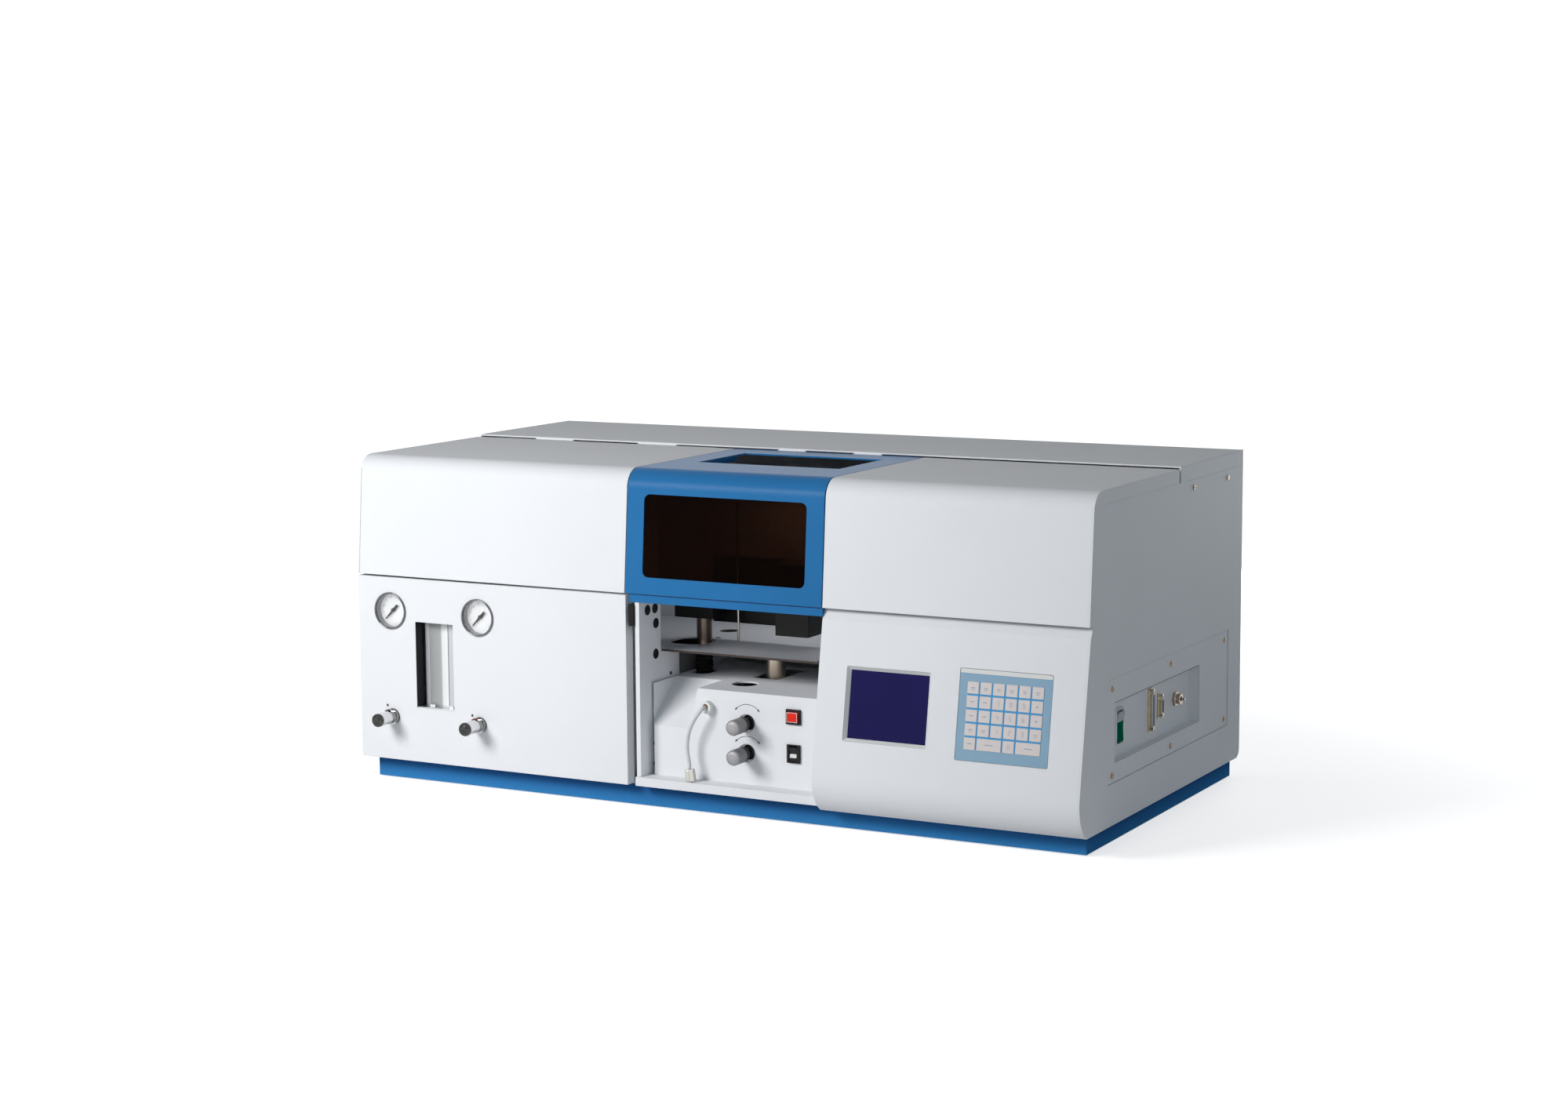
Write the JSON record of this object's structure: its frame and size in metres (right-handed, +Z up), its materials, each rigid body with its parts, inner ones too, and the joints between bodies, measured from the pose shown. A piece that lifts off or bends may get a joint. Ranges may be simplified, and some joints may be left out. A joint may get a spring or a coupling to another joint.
{
  "type": "atomic absorption spectrophotometer",
  "caption": "Bench flame atomic absorption spectrophotometer with a blue hood over an open burner bay, gas gauges on the left and a sloped screen and keypad panel on the right.",
  "frame": {"origin": "middle of the bounding box, on the bench under the rubber feet", "axes": "+X to the right along the width, front faces -Y, +Z up"},
  "size_m": [1.0224, 0.551, 0.427],
  "materials": {
    "white_paint": "satin",
    "grey_paint": "satin",
    "blue_paint": "satin",
    "black_paint": "matte",
    "aluminium": "brushed",
    "steel": "brushed",
    "chrome": "polished",
    "dark_chrome": "polished",
    "bronze_steel": "satin",
    "brass": "satin",
    "black_plastic": "matte",
    "white_plastic": "matte",
    "red_plastic": "gloss",
    "green_plastic": "gloss",
    "cream_plastic": "satin",
    "clear_plastic": "gloss",
    "tube_plastic": "gloss",
    "smoked_acrylic": "gloss",
    "lamp_glass": "gloss",
    "screen_glass": "gloss",
    "keypad_film": "satin",
    "rubber": "matte"
  },
  "bodies": {
    "chassis": {"base_plinth": "blue_paint", "rubber_feet": "rubber", "floor_plate": "grey_paint", "left_side_panel": "white_paint", "right_side_panel": "white_paint", "connector_plate": "white_paint", "case_screws": "bronze_steel", "rear_panel": "white_paint", "gas_inlets": "brass", "rear_top_cover": "white_paint", "hinge_pins": "steel", "right_top_cover": "white_paint", "hood_sill": "blue_paint", "gas_panel": "white_paint", "display_panel": "white_paint", "lcd_screen": "screen_glass", "keypad": "keypad_film", "left_wall": "white_paint", "chamber_wall": "grey_paint", "power_inlet": "black_plastic", "rear_deck": "grey_paint", "burner_cover": "white_paint", "front_ledge": "white_paint", "gauge_cases": "dark_chrome", "gauge_dials": "white_plastic", "gauge_lenses": "clear_plastic", "flowmeter_block": "clear_plastic", "valve_bodies": "chrome", "knob_collars": "dark_chrome", "switch_frames": "black_plastic", "sample_inlet": "white_plastic", "sample_tube": "tube_plastic", "tube_clip": "steel", "igniter_rod": "steel", "lens_tubes": "black_paint", "turret_stand": "aluminium", "monochromator": "black_paint", "power_unit": "grey_paint", "data_ports": "cream_plastic", "toggle_body": "chrome"},
    "lamp_lid": {"lamp_lid": "white_paint"},
    "hood": {"hood": "blue_paint", "hood_window": "smoked_acrylic"},
    "air_pointer": {"air_pointer": "black_plastic"},
    "fuel_pointer": {"fuel_pointer": "black_plastic"},
    "flow_float": {"flow_float": "red_plastic"},
    "air_valve_knob": {"air_valve_knob": "chrome"},
    "fuel_valve_knob": {"fuel_valve_knob": "chrome"},
    "carriage": {"burner_carriage": "aluminium"},
    "burner": {"burner_lift": "white_plastic", "burner_tubes": "steel", "burner_head": "black_paint"},
    "height_knob": {"height_knob": "steel"},
    "depth_knob": {"depth_knob": "steel"},
    "ignition_button": {"ignition_button": "red_plastic"},
    "gas_rocker": {"gas_rocker": "black_plastic"},
    "turret": {"lamp_turret": "aluminium", "cathode_lamps": "lamp_glass"},
    "toggle_lever": {"toggle_lever": "chrome"},
    "power_rocker": {"power_rocker": "green_plastic"}
  },
  "joints": [
    {"name": "lamp_lid_hinge", "type": "hinge", "parent": "chassis", "child": "lamp_lid", "pos_m": [-0.3, 0.0465, 0.421], "axis": [-1, 0, 0], "range_deg": [0, 80]},
    {"name": "hood_hinge", "type": "hinge", "parent": "chassis", "child": "hood", "pos_m": [0.031, 0.0465, 0.421], "axis": [-1, 0, 0], "range_deg": [0, 75]},
    {"name": "air_pointer_turn", "type": "hinge", "parent": "chassis", "child": "air_pointer", "pos_m": [-0.46, -0.2315, 0.225], "axis": [0, 1, 0], "range_deg": [0, 270], "stiffness_Nm_per_rad": 0.002},
    {"name": "fuel_pointer_turn", "type": "hinge", "parent": "chassis", "child": "fuel_pointer", "pos_m": [-0.325, -0.2315, 0.225], "axis": [0, 1, 0], "range_deg": [0, 270], "stiffness_Nm_per_rad": 0.002},
    {"name": "float_rise", "type": "slide", "parent": "chassis", "child": "flow_float", "axis": [0, 0, 1], "range_m": [0, 0.105]},
    {"name": "air_valve_turn", "type": "hinge", "parent": "chassis", "child": "air_valve_knob", "pos_m": [-0.46, -0.2575, 0.0865], "axis": [0, -1, 0], "range_deg": [0, 1080]},
    {"name": "fuel_valve_turn", "type": "hinge", "parent": "chassis", "child": "fuel_valve_knob", "pos_m": [-0.325, -0.2575, 0.0865], "axis": [0, -1, 0], "range_deg": [0, 1080]},
    {"name": "carriage_slide", "type": "slide", "parent": "chassis", "child": "carriage", "axis": [0, 1, 0], "range_m": [-0.006, 0.006]},
    {"name": "burner_lift_slide", "type": "slide", "parent": "carriage", "child": "burner", "axis": [0, 0, 1], "range_m": [-0.008, 0.008]},
    {"name": "depth_knob_turn", "type": "hinge", "parent": "chassis", "child": "depth_knob", "pos_m": [0.0505, -0.2325, 0.08], "axis": [0, -1, 0], "range_deg": [-725, 725]},
    {"name": "height_knob_turn", "type": "hinge", "parent": "chassis", "child": "height_knob", "pos_m": [0.0505, -0.2325, 0.117], "axis": [0, 1, 0], "range_deg": [-60, 60]},
    {"name": "ignition_press", "type": "slide", "parent": "chassis", "child": "ignition_button", "axis": [0, 1, 0], "range_m": [0, 0.003], "stiffness_N_per_m": 400},
    {"name": "gas_rocker_tilt", "type": "hinge", "parent": "chassis", "child": "gas_rocker", "pos_m": [0.116, -0.2085, 0.085], "axis": [-1, 0, 0], "range_deg": [0, 10]},
    {"name": "turret_turn", "type": "hinge", "parent": "chassis", "child": "turret", "pos_m": [-0.4, -0.1045, 0.232], "axis": [1, 0, 0], "continuous": true},
    {"name": "toggle_flip", "type": "hinge", "parent": "chassis", "child": "toggle_lever", "pos_m": [0.502, 0.0705, 0.137], "axis": [0, 1, 0], "range_deg": [-12, 12]},
    {"name": "power_rocker_tilt", "type": "hinge", "parent": "chassis", "child": "power_rocker", "pos_m": [0.5, -0.1245, 0.137], "axis": [0, -1, 0], "range_deg": [0, 12]}
  ],
  "couplings": [
    {"joint": "depth_knob_turn", "follows": "carriage_slide", "rad_per_m": 2094.4},
    {"joint": "height_knob_turn", "follows": "burner_lift_slide", "rad_per_m": 125}
  ]
}
